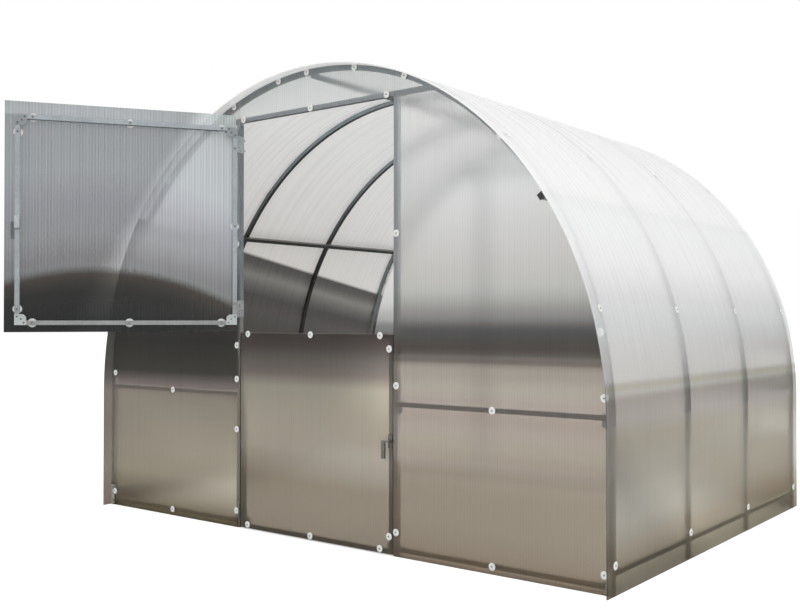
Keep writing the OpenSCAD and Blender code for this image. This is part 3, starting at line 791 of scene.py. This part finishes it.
# %% [markdown]
# ## Caps, foot plates and clips on the front
# The side purlins run out through the gable and are closed with black caps, cut square and turned
# to the slope. A bright plate bolts each front corner together, and a small clip under each end of
# the mid rails takes their weight. Each starts as a cube that is scaled, bevelled and moved to its place.

# %% Purlin caps
def block(shape, size, middle, turn=0.0, edge=0.0008):
    """A block with softened edges, turned about Y and moved to its place."""
    made = bmesh.ops.create_cube(shape, size=1.0)["verts"]
    bmesh.ops.scale(shape, vec=size, verts=made)
    edges = list({e for v in made for e in v.link_edges})
    bevelled = bmesh.ops.bevel(shape, geom=edges, offset=edge, offset_type="OFFSET", segments=2, profile=0.5,
                               affect="EDGES", material=-1)
    made = list({v for f in bevelled["faces"] for v in f.verts})
    matrix = Matrix.Translation(middle) @ Matrix.Rotation(turn, 4, "Y")
    bmesh.ops.transform(shape, matrix=matrix, verts=made)


CAP, CAP_BOSS = (0.026, 0.003, 0.026), (0.014, 0.0046, 0.014)
CAP_OUT = 0.0016  # middle of a cap, out from the face of the gable sheet
shape = bmesh.new()
for node, side in (("left_purlin", -1), ("right_purlin", 1)):
    spot = centre(node)
    slope = math.atan2(spot.z - axis_z, side * (spot.x - mid_x))
    for y in (front_y - CAP_OUT, rear_y + CAP_OUT):
        block(shape, CAP, (spot.x, y, spot.z), -side * slope)
        block(shape, CAP_BOSS, (spot.x, y, spot.z), -side * slope, 0.001)
finished("purlin_caps", shape, cap_plastic, "frame")
print("caps at", round(math.degrees(slope), 1), "degrees")

# %% Foot plates
FOOT_PLATE = (0.026, 0.0016, 0.098)
NEAR = 0.0001  # the gap that keeps two faces from lying in each other
shape = bmesh.new()
plate_spots = []
for side in (-1, 1):
    x = mid_x + side * (tube_r - 0.004)
    block(shape, FOOT_PLATE, (x, front_y - FOOT_PLATE[1] / 2 - NEAR, 0.054), 0.0, 0.0004)
    plate_spots += [((x - side * 0.005, front_y - FOOT_PLATE[1] - NEAR, z), (0, -1, 0)) for z in (0.088, 0.02)]
finished("foot_plates", shape, galvanised_plate, "frame")
finished("foot_plate_bolts", laid_out(bolt, plate_spots), screw_steel, "frame")

# %% Rail clips
CLIP = (0.024, 0.002, 0.03)
CLIP_Y = -0.008  # from the middle of the hoop's tube towards the front
clips = bmesh.new()
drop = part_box("front_mid_rails")[0].z
for side in (-1, 1):
    for wall, way in ((mid_x + side * leg_in, -side), (mid_x + side * (post_out - mid_x), side)):
        made = bmesh.ops.create_cube(clips, size=1.0)["verts"]
        bmesh.ops.scale(clips, vec=CLIP, verts=made)
        put = (wall + way * (CLIP[0] / 2 + NEAR), hoops[0] + CLIP_Y, drop - CLIP[2] / 2 - NEAR)
        bmesh.ops.translate(clips, vec=put, verts=made)
        # The lower corner away from the upright is cut off round, which leaves a small gusset.
        free = min(made, key=lambda v: (v.co.z, -way * v.co.x)).co
        corner = [e for v in made for e in v.link_edges
                  if all((w.co.xz - free.xz).length < 0.0001 for w in e.verts)][:1]
        bmesh.ops.bevel(clips, geom=corner, offset=0.019, offset_type="OFFSET", segments=5, profile=0.5,
                        affect="EDGES", material=-1)
finished("rail_clips", clips, galvanised_tube, "frame")

# %% Fixings of the hinges
HINGE_H, HOLE_UP = 0.08, 0.024  # height of a hinge, and its holes above and below its middle
STUD_IN = 0.0135


def hinge_holes(low_end, high_end):
    """Heights of the holes in a pair of hinges, from the ends of the pair."""
    middles = (low_end + HINGE_H / 2, high_end - HINGE_H / 2)
    return [z + d for z in middles for d in (-HOLE_UP, HOLE_UP)]


upper_holes = hinge_holes(*(end.z for end in shut_box("upper_leaf_hinges")))
lower_holes = hinge_holes(*(end.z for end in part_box("lower_leaf_hinges")))
post_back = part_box("front_posts")[1].y
studs = [((post_in + STUD_IN, post_back, z), (0, 1, 0)) for z in upper_holes + lower_holes]
finished("hinge_studs", laid_out(stud, studs), screw_steel, "frame")

# %% Fixings on the upper leaf's corner plates and hinges
PLATE_HOLES = ((0.01, 0.038), (0.038, 0.01), (0.027, 0.027))  # in from the stile's edge, in from the rail's
corners = [(mid_x + side * (stile_high.x - mid_x) - side * across, edge + up * along)
           for side in (-1, 1) for edge, up in ((rail_low.z, 1), (rail_high.z, -1)) for across, along in PLATE_HOLES]
plate_y = shut_box("upper_leaf_gussets")[1].y
heads = swung([((x, plate_y, z), (0, 1, 0)) for x, z in corners])
finished("upper_leaf_gusset_screws", laid_out(screw, heads), dark_screw, "upper_leaf")
leaf_nuts = swung([((stile_low.x + HALF_TUBE, inner_y, z), (0, 1, 0)) for z in upper_holes[1:-1]])
finished("upper_leaf_hinge_nuts", laid_out(nut, leaf_nuts), screw_steel, "upper_leaf")
